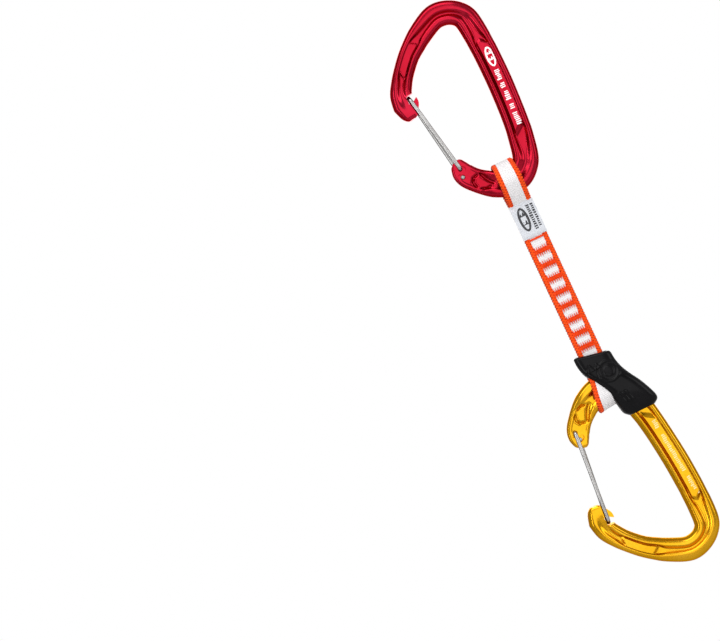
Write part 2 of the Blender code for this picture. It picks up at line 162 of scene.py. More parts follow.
NOTCH = [(-28.7, -35.6), (-28.4, -34.9), (-27.8, -34.7), (-26.5, -34.5), (-25.0, -34.25),
         (-22.0, -33.95), (-20.0, -33.85), (-20.0, -36.3),
         (-24.6, -36.7), (-26.6, -38.3), (-27.4, -38.9), (-28.5, -38.4)]
LEG_RECESS = [(-28.75, -34.72), (-28.75, -38.5), (-28.1, -42.0), (-27.3, -47.0),
              (-18.0, -47.0), (-18.0, -34.72)]
GROOVES = [  # path and half width, round the plate's island
    ([(-13.0, -80.5), (-15.0, -81.2), (-16.0, -83.0), (-15.4, -85.4)], 0.62),
    ([(-11.3, -80.6), (-10.2, -82.9), (-8.8, -85.0), (-7.3, -86.5)], 0.85),
    ([(-13.4, -87.2), (-11.2, -87.9), (-9.2, -87.5)], 0.50),
]
GROOVE_DEPTH = 1.0
GROOVE_AREA = (-19.0, -5.0, -78.0)  # lowest and highest u, highest v
SLOT_WEB = 0.15  # thin web left behind the wire ends, half thickness

# ---- sling ----
TAPE_W = 11.1
TAPE_HALF_T = 0.85
SLING_X = -1.9
TOP_BAR_Z = -76.6
BOTTOM_BAR_Z = -182.4
TOP_ROUND = (8.5, 8.4)  # half depth and half height of the loop round the bar
# Depth and rise from the bar of the points where each loop closes.
TOP_CLOSE = [(6.1, -6.2), (4.0, -8.9), (2.0, -11.2), (1.05, -13.0), (1.0, -14.8)]
BOTTOM_ROUND = (5.5, 7.3)
BOTTOM_CLOSE = [(4.9, 4.6), (3.3, 8.8), (1.35, 12.1), (1.0, 13.6)]
LOOP_ANGLES = {1: range(0, 110, 20), -1: range(0, 100, 20)}  # top and bottom, degrees
PATH_SPANS = 10
PATH_STEP = 0.5
SLING_SHIFT = (1.9, -171.0, 16.0)  # toward the gate: how far, from z, over
SLING_TURN = (-169.0, 9.0)  # leans with the lower bar: from z, over
TAPE_PINCH = (0.9, 1.0, 7.0)  # narrower at the top bar: by, from, over
TAPE_COLUMNS = 34
TAPE_BUNCH = 0.94  # columns beyond this share are drawn to the edge
TAPE_ROUND = 0.8  # width of the rounded edge
EDGE_FLOOR = 0.1  # the edge's own height share
SELVEDGE = 2.2
SELVEDGE_CROWN = 0.06  # height shares of the crown, the seam and the ribs
SEAM = (0.16, 0.22)  # height share, half width
SELVEDGE_RIB = (0.20, 1.35, 2.6)  # height share, pitch along, pitch across
TAPE_RIB = (0.06, 1.1)  # height share, pitch along
SELVEDGE_WAVE = 0.038  # the edge's waviness, of the half width
TACKS = [(-91.5, 2.0), (-98.4, 2.0), (-105.9, 1.1)]  # z and length of each sewn tack
TACKS += [(-112.0 - 6.9 * k, 2.7) for k in range(9)]
TACK_WIDTH = 7.2
TACK_TEETH = 7
TACK_TOOTH = TACK_WIDTH / TACK_TEETH
TACK_FACE = 1.9  # height of the tape's surface from the middle
TACK_LANES = [  # passes of thread: sideways shift, lift, share of the reach
    (0.0, 0.0, 1.0),
    (TACK_TOOTH / 2, 0.12, 0.40),
    (0.05, 0.16, 0.92),
]
TACK_TALL = 2.5  # longer tacks have teeth that reach further
TACK_REACH = 1.05
TACK_UNEVEN = (-0.16, 0.10)  # random change of a tooth's reach
TACK_CORE = 0.78  # length of the padded core, of the tack's
THREAD_R = 0.20
THREAD_SIDES = 6
THREAD_ARCH = 1.04  # the middle of a stitch stands out by this factor
CORE_STEPS = 8
CORE_SHAPE = (0.25, 0.42, 0.6)  # sunk edge, rise, power of the arch
CORE_BASE = 1.2  # underside, from the tape's middle
CORE_END = 0.5
LABEL = (-7.75, 3.95, -104.9, -88.2)  # lowest and highest x, lowest and highest z
LABEL_Y = 3.05
LABEL_THICK = 0.32
LABEL_GRID = (24, 36)
LABEL_BUMP = (0.30, 1.9)  # over each tack: height, half length
LABEL_TUCK = (0.45, 1.4)  # at the lower edge: depth, length
LABEL_RIPPLE = (0.04, 1.1, 0.5)  # height, radians per mm across and along
PRINT_LIFT = 0.03
OVAL_SIDES = 40
LABEL_OVAL = (-3.5, -96.0, 2.4, 5.8, 1.1)  # x, z, half width, half height, band
LABEL_PEAKS = [(-3.5, -93.6, 1.45), (-3.5, -97.6, 1.55)]  # x, z, size
DASH_COLUMNS = [(0.35, 0.80), (2.35, 0.62)]  # x, half width
DASH_SPAN = (-90.2, -101.6)

# Keeper sections: left x and z, right x and z, half depth.
KEEPER = [
    (-9.9, -163.5,  6.6, -166.7, 4.4),
    (-10.2, -164.4, 7.0, -167.7, 5.0),
    (-10.0, -168.0, 7.4, -171.2, 5.7),
    (-8.9, -172.0,  8.7, -175.6, 6.6),
    (-6.5, -176.0, 10.9, -179.8, 7.6),
    (-4.1, -180.4, 13.4, -183.9, 8.0),
    (-2.3, -184.4, 15.3, -187.7, 8.0),
    (-1.2, -188.8, 16.8, -191.2, 7.6),
    (-0.4, -192.4, 17.6, -193.8, 7.0),
    (0.5, -195.4,  17.3, -195.6, 6.4),
    (2.0, -197.0,  15.9, -196.8, 5.7),
]
KEEPER_POINTS = 132  # round each section
KEEPER_DENSE = 480
KEEPER_STEP = 0.32
KEEPER_SPANS = 10
KEEPER_SQUARE = 0.5  # power that squares the oval section
KEEPER_HALF_W = 8.5  # turns an inset into a share of the width
TOP_MOUTH = [(1.9, -3.0), (1.6, -0.5), (1.2, 0.15), (0.6, 0.35)]  # inset, rise
BOTTOM_MOUTH = [(0.6, -0.35), (1.2, -0.15), (1.6, 0.5), (1.9, 2.5)]
BOSS = (2.0, -174.6)
BOSS_DOME = (2.9, 0.9, 0.55)  # radius, edge fade, height
BOSS_RING = (4.6, 0.50, 0.62)  # radius, half width, height
EMBOSSED_PEAKS = [(-5.2, -168.0, 3.9), (-1.9, -168.6, 3.0)]  # x and z of the top, size
PEAK_SHAPE = (0.62, 0.5, 0.6)  # slope, edge fade, height
RIB_COUNT = 3
RIB_START = (2.6, -188.5)  # the first rib passes through this x and z
RIB_SHAPE = (0.42, 1.7, 0.34, 0.48)  # lean, pitch, half width, height
RIB_SPAN = (-192.0, -185.0, 0.8)  # lowest z, highest z, edge fade

# ---- marks on the spines ----
MARK_U = 14.05
SPINE_HALF = 4.1  # half depth of the spine
MARK_LIFT = 0.025
MARK_OVAL = (MARK_U, -33.2, 2.0, 4.8, 0.85)
MARK_PEAKS = [(MARK_U, -31.3, 1.15), (MARK_U, -34.2, 1.25)]
TOP_MARKS = [(-39.8, -44.6), (-46.3, -48.4), (-50.4, -55.2), (-56.8, -59.4),
             (-61.0, -67.0)]
BOTTOM_MARKS = [(-26.0, -35.2), (-38.2, -57.6), (-61.2, -65.6)]
TOP_MARK_HALF_W = 1.05
BOTTOM_MARK_HALF_W = 0.8

# ---- colours and weaves ----
# Anodised finishes: dark, main and light dye, then the tint at grazing angles.
RED = ((0.265, 0.0042, 0.013), (0.310, 0.0062, 0.019), (0.365, 0.0110, 0.031),
       (0.80, 0.03, 0.08))
GOLD = ((0.46, 0.222, 0.004), (0.52, 0.258, 0.007), (0.58, 0.300, 0.015),
        (0.88, 0.52, 0.06))
STEEL = ((0.25, 0.245, 0.24), (0.40, 0.395, 0.39))
# Fabrics: painted shade colour for the weave's low yarns, and main colour.
TAPE_WHITE = ((0.56, 0.55, 0.56), (0.77, 0.75, 0.755))
TAPE_ORANGE = ((0.24, 0.007, 0.001), (0.93, 0.082, 0.005))
LABEL_GREY = ((0.45, 0.47, 0.51), (0.63, 0.645, 0.68))
THREAD_ORANGE = ((0.58, 0.028, 0.003), (0.90, 0.074, 0.005), (0.93, 0.12, 0.015))
# Weaves: pitch across and along in mm, bump depth in metres.
TAPE_WEAVE = (1.0, 1.1, 0.00014)
SELVEDGE_WEAVE = (4.4, 1.35, 0.00020)
LABEL_WEAVE = (0.42, 0.42, 0.00005)
RUBBER = ((0.0024, 0.0023, 0.0027), (0.0055, 0.0052, 0.006))
# Inks: where they are thin and where they are full.
WHITE_INK = ((0.90, 0.80, 0.81), (0.98, 0.97, 0.97))
PALE_ETCH = ((0.80, 0.50, 0.16), (0.90, 0.66, 0.32))
GREY_INK = ((0.035, 0.035, 0.042), (0.012, 0.012, 0.016))
FLOOR_WHITE = ((0.84, 0.84, 0.85), (0.90, 0.90, 0.90))
POLISH_BUMP = 0.000002  # bump depth of fine marks on metal, metres
NOISE_SPAN = (0.3, 0.7)  # usual lowest and highest value of a noise


# ---- curves and small maths ----
def smoothstep(t):
    """0 up to t = 0, 1 from t = 1, and a smooth rise between."""
    t = min(1.0, max(0.0, t))
    return t * t * (3.0 - 2.0 * t)


def mix(a, b, t):
    """The value at share t of the way from a to b."""
    return a + (b - a) * t


def catmull(rows, steps):
    """Points along a smooth curve through rows, steps per span."""
    padded = [rows[0]] + list(rows) + [rows[-1]]
    out = []
    for i in range(len(rows) - 1):
        a, b, c, d = padded[i:i + 4]
        for k in range(steps):
            t = k / steps
            out.append(tuple(
                0.5 * (2 * q + (r - p) * t + (2 * p - 5 * q + 4 * r - s) * t * t
                       + (3 * q - p - 3 * r + s) * t ** 3)
                for p, q, r, s in zip(a, b, c, d)))
    out.append(tuple(rows[-1]))
    return out


def resample(rows, step=None, count=None, dims=2):
    """Rows at even spacing along the first dims columns."""
    run = [0.0]
    for a, b in zip(rows, rows[1:]):
        run.append(run[-1] + dist(a[:dims], b[:dims]))
    if count is None:
        count = max(2, round(run[-1] / step))
    out, j = [], 0
    for k in range(count + 1):
        target = run[-1] * k / count
        while j < len(rows) - 2 and run[j + 1] < target:
            j += 1
        t = (target - run[j]) / max(1e-9, run[j + 1] - run[j])
        out.append(tuple(mix(p, q, t) for p, q in zip(rows[j], rows[j + 1])))
    return out


def leaned(du, dv, lean):
    """A step in the carabiner's frame turned by its lean in degrees."""
    a = radians(lean)
    return du * cos(a) - dv * sin(a), du * sin(a) + dv * cos(a)


def top_frame(u, v, y):
    """Carabiner frame to row frame for the upper carabiner."""
    x, z = leaned(u - BASKET_APEX[0], v - BASKET_APEX[1], TOP_LEAN)
    return x, y, z


def bottom_frame(u, v, y):
    """The lower carabiner: the same shape turned over about X, then leaned."""
    x, z = leaned(u - BASKET_APEX[0], BASKET_APEX[1] - v, BOTTOM_LEAN)
    return BOTTOM_BASKET[0] + x, -y, BOTTOM_BASKET[1] + z


# ---- mesh helpers ----
def finish_mesh(name, bm, mats, sharp_deg=40):
    """Turn a mesh in millimetres into an object in metres, and free it."""
    bmesh.ops.recalc_face_normals(bm, faces=bm.faces)
    bmesh.ops.scale(bm, vec=(MM, MM, MM), verts=bm.verts)
    mesh = bpy.data.meshes.new(name)
    bm.to_mesh(mesh)
    bm.free()
    for mat in mats:
        mesh.materials.append(mat)
    mesh.shade_smooth()
    mesh.set_sharp_from_angle(angle=radians(sharp_deg))
    obj = bpy.data.objects.new(name, mesh)
    bpy.context.scene.collection.objects.link(obj)
    return obj


def skin(bm, rings, closed=False):
    """Skin equal rings of points, capped unless closed; returns the new vertices."""
    loops = [[bm.verts.new(p) for p in ring] for ring in rings]
    count = len(loops[0])
    pairs = list(zip(loops, loops[1:]))
    if closed:
        pairs.append((loops[-1], loops[0]))
    for a, b in pairs:
        for i in range(count):
            j = (i + 1) % count
            bm.faces.new((a[i], a[j], b[j], b[i]))
    if not closed:
        bm.faces.new(loops[0])
        bm.faces.new(loops[-1])
    return loops


def dome(rings, points, end):
    """Smaller rings that round off one end of a tube, outermost first."""
    centre = points[end]
    out = (centre - points[1 if end == 0 else -2]).normalized()
    reach = (rings[end][0] - centre).length * DOME_REACH
    extra = []
    for degrees in DOME_ANGLES:
        a = radians(degrees)
        extra.append([centre + (p - centre) * cos(a) + out * reach * sin(a)
                      for p in rings[end]])
    return extra


def sweep_tube(bm, points, radius, sides, domed=False):
    """Round tube along points, with flat or domed ends."""
    points = [Vector(p) for p in points]
    rings, side = [], None
    for i, point in enumerate(points):
        ahead, behind = points[min(i + 1, len(points) - 1)], points[max(i - 1, 0)]
        tangent = (ahead - behind).normalized()
        if side is None:
            start = Vector((1, 0, 0)) if abs(tangent.x) < 0.9 else Vector((0, 0, 1))
            side = tangent.cross(start).normalized()
        side = (side - tangent * side.dot(tangent)).normalized()
        other = tangent.cross(side)
        angles = (2 * pi * k / sides for k in range(sides))
        rings.append([point + (side * cos(a) + other * sin(a)) * radius
                      for a in angles])
    if domed:
        rings = dome(rings, points, 0) + rings + dome(rings, points, -1)[::-1]
    skin(bm, rings)


def prism(bm, outline, y0, y1, place):
    """Solid between y0 and y1 with an outline in the carabiner's frame."""
    skin(bm, [[place(u, v, y) for u, v in outline] for y in (y0, y1)])


def cut(obj, cutters):
    """Boolean each cutter away and keep the result as a plain mesh."""
    for cutter in cutters:
        mod = obj.modifiers.new("cut", "BOOLEAN")
        mod.operation = "DIFFERENCE"
        mod.solver = "EXACT"
        mod.object = cutter
    bpy.context.view_layer.update()
    graph = bpy.context.evaluated_depsgraph_get()
    mesh = bpy.data.meshes.new_from_object(obj.evaluated_get(graph))
    obj.modifiers.clear()
    obj.data = mesh
    mesh.shade_smooth()
    mesh.set_sharp_from_angle(angle=radians(BODY_SHARP))
    for cutter in cutters:
        bpy.data.objects.remove(cutter, do_unlink=True)


# ---- carabiner body ----
def spine_pad(u, v):
    """Share of the spine's pad at a point: an arrowhead above and a slant below."""
    point_u, point_v, slope, top_fade = SPINE_PAD_TOP
    end_u, end_v, slant, end_fade = SPINE_PAD_END
    top = point_v - slope * abs(u - point_u)
    bottom = end_v + (u - end_u) * slant
    return smoothstep((top - v) / top_fade) * smoothstep((v - bottom) / end_fade)


def arm_pad(u, v, n):
    """Share of the arm's pad at a point: a slanted ledge first and a chevron at its end."""
    along = -(u - ARM_START[0]) * ARM_WAY[0] - (v - ARM_START[1]) * ARM_WAY[1]
    slant, ledge_fade = ARM_LEDGE
    length, slope, middle, end_fade = ARM_CHEVRON
    ledge = smoothstep((along - slant * n) / ledge_fade)
    chevron = smoothstep((length - slope * abs(n - middle) - along) / end_fade)
    return ledge * chevron


def pad_mask(u, v, n):
    """Share of a raised pad in the side trough, and how far below the flanges it lies."""
    if u > SPINE_SIDE:
        return spine_pad(u, v), PAD_DEPTH
    if v > ARM_SIDE[1] and u < ARM_SIDE[0]:
        return arm_pad(u, v, n), ARM_PAD_DEPTH
    return 0.0, PAD_DEPTH


def distance_to_path(u, v, path):
    """Shortest distance from a point to a path of straight pieces."""
    best = inf
    for (u0, v0), (u1, v1) in zip(path, path[1:]):
        du, dv = u1 - u0, v1 - v0
        t = ((u - u0) * du + (v - v0) * dv) / (du * du + dv * dv)
        t = min(1.0, max(0.0, t))
        best = min(best, hypot(u - u0 - t * du, v - v0 - t * dv))
    return best


def groove(u, v):
    """Depth of the grooves round the raised island on the hinge plate."""
    low_u, high_u, high_v = GROOVE_AREA
    if v > high_v or not low_u < u < high_u:
        return 0.0
    return max(GROOVE_DEPTH * exp(-(distance_to_path(u, v, path) / half) ** 2)
               for path, half in GROOVES)


def edge_arc(half_width, half_depth, radius):
    """One rounded edge, from the side wall up to the flange."""
    angles = (radians(mix(*EDGE_ANGLES, k / EDGE_STEPS)) for k in range(EDGE_STEPS + 1))
    return [(half_width - radius + radius * cos(a), half_depth * sin(a))
            for a in angles]


def trough_drop(t, n, trough, soft, point):
    """Depth below the flanges at share t across the trough, with any pad raised in it."""
    walls = smoothstep(t / soft) * smoothstep((1 - t) / soft)
    steep = smoothstep(t / PAD_WALL)
    mask, pad = pad_mask(*point, n)
    across = 1 - smoothstep((t - PAD_EDGE) / PAD_FADE)
    return mix(trough * walls, min(pad, trough) * steep, mask * across)


def half_profile(row, point_at):
    """Offsets and heights from the outer edge to the inner edge of one side."""
    width, depth, trough, flange_o, flange_i, round_o, round_i, soft = row
    w, h = width / 2, depth / 2
    widest = FLANGE_SHARE * width
    flange_o, flange_i = min(flange_o, widest), min(flange_i, widest)
    round_o, round_i = min(round_o, flange_o * ROUND_SHARE), min(round_i, flange_i * ROUND_SHARE)
    n_out, n_in = w - flange_o, -w + flange_i
    points = edge_arc(w, h, round_o)
    points.append((n_out + LIP[0], h * LIP[1]))
    for k in range(TROUGH_STEPS + 1):
        t = k / TROUGH_STEPS
        n = mix(n_out, n_in, t)
        point = point_at(n)
        points.append((n, h - trough_drop(t, n, trough, soft, point) - groove(*point)))
    points.append((n_in - LIP[0], h * LIP[1]))
    return points + [(-n, y) for n, y in reversed(edge_arc(w, h, round_i))]


def across_station(rows, i):
    """Function from an offset across the body at station i to a point u, v."""
    u, v = rows[i][:2]
    u1, v1 = rows[min(i + 1, len(rows) - 1)][:2]
    u0, v0 = rows[max(i - 1, 0)][:2]
    length = hypot(u1 - u0, v1 - v0)
    nu, nv = (v1 - v0) / length, (u0 - u1) / length
    return lambda n: (u + nu * n, v + nv * n)


def carabiner_rings(place):
    """Closed sections of the body from the hinge end to the nose."""
    rows = resample(catmull(STATIONS, STATION_STEPS), RING_STEP)
    rings = []
    for i, row in enumerate(rows):
        point_at = across_station(rows, i)
        half = half_profile(row[2:], point_at)
        profile = half + [(n, -y) for n, y in reversed(half)]
        rings.append([place(*point_at(n), y) for n, y in profile])
    return rings


def hinge_pivot():
    """The gate turns about the midpoint of its two holes."""
    return tuple((a + b) / 2 for a, b in zip(HOLE_NEAR, HOLE_FAR))


def slot_outline(hole):
    """Curved slot swept by a wire end while the gate opens."""
    pu, pv = hinge_pivot()
    start = atan2(hole[1] - pv, hole[0] - pu)
    radius = hypot(hole[0] - pu, hole[1] - pv)
    end = start - radians(GATE_OPEN)
    arc = [start + (end - start) * k / SLOT_STEPS for k in range(SLOT_STEPS + 1)]
    shares = [k / SLOT_STEPS for k in range(1, SLOT_STEPS)]

    def around(reach, angles, centre=(pu, pv)):
        return [(centre[0] + reach * cos(a), centre[1] + reach * sin(a))
                for a in angles]

    far_cap = around(radius, [end])[0]
    near_cap = around(radius, [start])[0]
    return (around(radius + HOLE_R, arc)
            + around(HOLE_R, [end - pi * share for share in shares], far_cap)
            + around(radius - HOLE_R, reversed(arc))
            + around(HOLE_R, [start + pi * (1 - share) for share in shares], near_cap))


def build_carabiner(name, place, body, node, mat):
    """Forged body with its notch, wire slots and recesses for the wire's legs."""
    bm = bmesh.new()
    skin(bm, carabiner_rings(place))
    obj = finish_mesh(name, bm, [mat])
    through = bmesh.new()
    prism(through, NOTCH, -CUT_HALF, CUT_HALF, place)
    for outline in (slot_outline(HOLE_NEAR), slot_outline(HOLE_FAR)):
        for side in (-1, 1):
            prism(through, outline, side * SLOT_WEB, side * CUT_HALF, place)
    recess = bmesh.new()
    for side in (-1, 1):
        prism(recess, LEG_RECESS, side * WEB_HALF, side * CUT_HALF, place)
    cut(obj, [finish_mesh(name + "_through", through, [mat]),
              finish_mesh(name + "_recess", recess, [mat])])
    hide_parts(node)
    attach(obj, body)


# ---- wire gates ----
def direction(start, stop):
    """Unit vector in the carabiner's frame."""
    du, dv = stop[0] - start[0], stop[1] - start[1]
    length = hypot(du, dv)
    return du / length, dv / length


def leg_bend(hole, way):
    """Quarter bend from the wire in a hole into the leg above it, on the -y side."""
    points = []
    for k in range(1, BEND_STEPS + 1):
        a = pi / 2 * k / BEND_STEPS
        reach = LEG_BEND * (1 - cos(a))
        points.append((hole[0] + way[0] * reach, hole[1] + way[1] * reach,
                       -LEG_Y_HINGE + LEG_BEND - LEG_BEND * sin(a)))
    return points


def gate_path():
    """Wire from the near hole, up one leg, round the tip and down the other."""
    end, bend_y = PLATE_HALF - END_SUNK, LEG_Y_HINGE - LEG_BEND
    du, dv = direction(HOLE_NEAR, GATE_TIP)
    base = (GATE_TIP[0] - du * LEG_Y_TIP, GATE_TIP[1] - dv * LEG_Y_TIP)
    path = [(*HOLE_NEAR, end), (*HOLE_NEAR, 0.0), (*HOLE_NEAR, -bend_y)]
    path += leg_bend(HOLE_NEAR, (du, dv))
    for k in range(TIP_STEPS + 1):
        a = pi * k / TIP_STEPS
        reach = LEG_Y_TIP * sin(a)
        path.append((base[0] + du * reach, base[1] + dv * reach, -LEG_Y_TIP * cos(a)))
    far_bend = leg_bend(HOLE_FAR, direction(HOLE_FAR, base))
    path += [(u, v, -y) for u, v, y in reversed(far_bend)]
    return path + [(*HOLE_FAR, bend_y), (*HOLE_FAR, 0.0), (*HOLE_FAR, -end)]


def build_gate(name, place, body, node, mat):
    """Bent wire gate of one carabiner."""
    bm = bmesh.new()
    sweep_tube(bm, [place(*p) for p in gate_path()], WIRE_R, WIRE_SIDES, domed=True)
    obj = finish_mesh(name, bm, [mat], sharp_deg=60)
    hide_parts(node)
    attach(obj, body)


# ---- sling ----
def sling_centre_x(z):
    """The tape moves a little toward the gate where it wraps the lower bar."""
    shift, start, length = SLING_SHIFT
    return SLING_X - shift * smoothstep((start - z) / length)


def sling_tilt(z):
    """The tape turns with the lower carabiner's lean as it nears the lower bar."""
    start, length = SLING_TURN
    return radians(BOTTOM_LEAN) * smoothstep((start - z) / length)


def tape_width(z):
    """The tape is pinched a little narrower round the top bar."""
    pinch, start, length = TAPE_PINCH
    top = smoothstep((z - (TOP_BAR_Z + start)) / length)
    return TAPE_W - pinch * top


def loop_points(bar_z, size, close, way):
    """Points y, z of one layer from a loop's apex to where the layers meet."""
    half_y, half_z = size
    angles = [radians(a) for a in LOOP_ANGLES[way]]
    arc = [(half_y * sin(a), bar_z + way * half_z * cos(a)) for a in angles]
    return arc + [(y, bar_z + dz) for y, dz in close]


def sling_path():
    """Closed centre line (y, z) from the top apex down the back and up the front."""
    top = loop_points(TOP_BAR_Z, TOP_ROUND, TOP_CLOSE, 1)
    bottom = loop_points(BOTTOM_BAR_Z, BOTTOM_ROUND, BOTTOM_CLOSE, -1)
    down = catmull(top, PATH_SPANS) + catmull(bottom, PATH_SPANS)[::-1]
    loop = down + [(-y, z) for y, z in reversed(down[1:-1])]
    return resample(loop + loop[:1], PATH_STEP)[:-1]


def tape_height(s, half, run):
    """Height share at offset s: rounded edge, seam beside the selvedge, and ribs."""
    inside = half - abs(s)
    edge = min(1.0, inside / TAPE_ROUND)
    height = sqrt(max(0.0, 1 - (1 - edge) ** 2)) * (1 - EDGE_FLOOR) + EDGE_FLOOR
    seam = SEAM[0] * exp(-((inside - SELVEDGE) / SEAM[1]) ** 2)
    if inside < SELVEDGE:
        share, along, across = SELVEDGE_RIB
        rib = share * cos(2 * pi * (run / along + abs(s) / across))
        return height - seam + SELVEDGE_CROWN + rib
    share, along = TAPE_RIB
    return height - seam + share * cos(2 * pi * run / along)


def tape_profile(half, run=0.0):
    """Closed section across the tape at one place along it: offset, height share."""
    swing = SELVEDGE_WAVE * sin(2 * pi * run / SELVEDGE_RIB[1])
    top = []
    for k in range(TAPE_COLUMNS + 1):
        t = -1 + 2 * k / TAPE_COLUMNS
        s = half * sin(t * pi / 2) if abs(t) > TAPE_BUNCH else half * t
        wave = 1 + swing * (abs(s) / half) ** 4
        top.append((s * wave, tape_height(s, half, run)))
    return top + [(s, -n) for s, n in reversed(top)]


def tape_rings(path):
    """Sections of the tape along its path, how far along each is, and the whole length."""
    rings, along, run = [], [], 0.0
    for i, (y, z) in enumerate(path):
        y1, z1 = path[(i + 1) % len(path)]
        y0, z0 = path[i - 1]
        length = hypot(y1 - y0, z1 - z0)
        ny, nz = (z0 - z1) / length, (y1 - y0) / length
        tilt, cx = sling_tilt(z), sling_centre_x(z)
        profile = tape_profile(tape_width(z) / 2, run)
        rings.append([(cx + s * cos(tilt), y + ny * TAPE_HALF_T * n,
                       z + nz * TAPE_HALF_T * n + s * sin(tilt))
                      for s, n in profile])
        along.append(run)
        run += dist((y, z), (y1, z1))
    return rings, along, run


def map_weave(bm, loops, along, whole):
    """Weave coordinates across and along the tape in mm, and orange edge faces."""
    uv = bm.loops.layers.uv.new("weave")
    across = [s for s, n in tape_profile(TAPE_W / 2)]
    place = {vert: (across[j], along[i]) for i, ring in enumerate(loops)
             for j, vert in enumerate(ring)}
    for face in bm.faces:
        spots = [place[vert] for vert in face.verts]
        wraps = max(s[1] for s in spots) - min(s[1] for s in spots) > whole / 2
        middle = sum(s[0] for s in spots) / len(spots)
        face.material_index = 1 if abs(middle) > TAPE_W / 2 - SELVEDGE else 0
        for loop in face.loops:
            s, r = place[loop.vert]
            loop[uv].uv = (s, r + whole if wraps and r < whole / 2 else r)


def build_webbing(white, orange):
    """The sling's tape as one closed loop, white with orange edges."""
    rings, along, whole = tape_rings(sling_path())
    bm = bmesh.new()
    loops = skin(bm, rings, closed=True)
    map_weave(bm, loops, along, whole)
    obj = finish_mesh("sling_tape", bm, [white, orange], sharp_deg=60)
    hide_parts("sling_webbing")
    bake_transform(obj)


def zigzag(z, half_l, y, shift, rng):
    """One pass of zigzag stitching across the tape."""
    half_w = TACK_WIDTH / 2
    points = []
    for k in range(2 * TACK_TEETH + 1):
        x = mix(SLING_X - half_w, SLING_X + half_w, k / (2 * TACK_TEETH)) + shift
        reach = half_l * (1 + rng.uniform(*TACK_UNEVEN))
        swing = reach if k % 2 else -reach
        points.append((x, y, z + swing))
    dense = []
    for a, b in zip(points, points[1:]):
        mid_x, mid_y, mid_z = (mix(p, q, 0.5) for p, q in zip(a, b))
        dense += [a, (mid_x, mid_y * THREAD_ARCH, mid_z)]
    return dense + [points[-1]]


def tack_core(bm, z, half_l, side):
    """Low padded mound under the stitches of one face."""
    half_w = TACK_WIDTH / 2
    sunk, rise, power = CORE_SHAPE
    rows = []
    for k in range(CORE_STEPS + 1):
        a = pi * k / CORE_STEPS
        rows.append((side * (TACK_FACE - sunk + rise * sin(a) ** power),
                     z - half_l * TACK_CORE * cos(a)))
    rows.append((side * CORE_BASE, z))
    skin(bm, [[(x, y, row_z) for y, row_z in rows]
              for x in (SLING_X - half_w, SLING_X - half_w + CORE_END, SLING_X,
                        SLING_X + half_w - CORE_END, SLING_X + half_w)])


def build_tack(number, z, length, mat):
    """Bar tack: three passes of zigzag thread over a core, on both faces."""
    rng = random.Random(100 + number)
    bm = bmesh.new()
    half_l = length / 2
    reach = half_l + (TACK_REACH if length > TACK_TALL else 0.0)
    for side in (-1, 1):
        for lane, lift, share in TACK_LANES:
            path = zigzag(z, reach * share, side * (TACK_FACE + lift), lane, rng)
            sweep_tube(bm, path, THREAD_R, THREAD_SIDES)
        tack_core(bm, z, half_l, side)
    obj = finish_mesh("tack_stitches_%02d" % number, bm, [mat], sharp_deg=60)
    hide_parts("bar_tack_%02d" % number)
    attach(obj, "sling")


# ---- label ----
def label_y(x, z):
    """Front surface of the label, which rises over the tacks below it."""
    height, half_length = LABEL_BUMP
    bumps = sum(height * exp(-((z - tz) / half_length) ** 2) for tz, _ in TACKS[:2])
    tuck, length = LABEL_TUCK
    edge = tuck * smoothstep((LABEL[2] + length - z) / length)
    ripple, turn_x, turn_z = LABEL_RIPPLE
    wave = ripple * sin(x * turn_x + z * turn_z)
    return -(LABEL_Y - LABEL_THICK + bumps - edge + wave)


def label_sheet(bm, depth):
    """Grid of vertices for one face of the label."""
    x0, x1, z0, z1 = LABEL
    nx, nz = LABEL_GRID
    return [[bm.verts.new((x, label_y(x, z) + depth, z))
             for x in (mix(x0, x1, i / nx) for i in range(nx + 1))]
            for z in (mix(z0, z1, j / nz) for j in range(nz + 1))]


def label_rim():
    """Grid places round the label's edge, in order."""
    nx, nz = LABEL_GRID
    rim = [(0, i) for i in range(nx)] + [(j, nx) for j in range(nz)]
    return rim + [(nz, i) for i in range(nx, 0, -1)] + [(j, 0) for j in range(nz, 0, -1)]


def build_label(mat):
    """Woven patch on the front of the sling."""
    nx, nz = LABEL_GRID
    bm = bmesh.new()
    uv = bm.loops.layers.uv.new("weave")
    front, back = [label_sheet(bm, depth) for depth in (0.0, LABEL_THICK)]
    for grid in (front, back):
        for j in range(nz):
            for i in range(nx):
                bm.faces.new((grid[j][i], grid[j][i + 1], grid[j + 1][i + 1], grid[j + 1][i]))
    rim = label_rim()
    for (j, i), (l, k) in zip(rim, rim[1:] + rim[:1]):
        bm.faces.new((front[j][i], front[l][k], back[l][k], back[j][i]))
    for face in bm.faces:
        for loop in face.loops:
            loop[uv].uv = (loop.vert.co.x, loop.vert.co.z)
    obj = finish_mesh("label_patch", bm, [mat], sharp_deg=60)
    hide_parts("label")
    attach(obj, "sling")


def plate(bm, outline, surface):
    """Thin printed shape lying on a surface function of (x, z)."""
    bm.faces.new([bm.verts.new((x, surface(x, z) - PRINT_LIFT, z)) for x, z in outline])


def bar(x, z, half_w, half_h):
    """Corners of a plain bar."""
    return [(x - half_w, z - half_h), (x + half_w, z - half_h),
            (x + half_w, z + half_h), (x - half_w, z + half_h)]


def ring_band(cx, cz, rx, rz, band):
    """Quads of an oval ring."""
    quads = []
    for k in range(OVAL_SIDES):
        a, b = (2 * pi * (k + e) / OVAL_SIDES for e in (0, 1))
        quads.append([(cx + (rx - i) * cos(t), cz + (rz - i) * sin(t))
                      for t, i in ((a, 0), (b, 0), (b, band), (a, band))])
    return quads


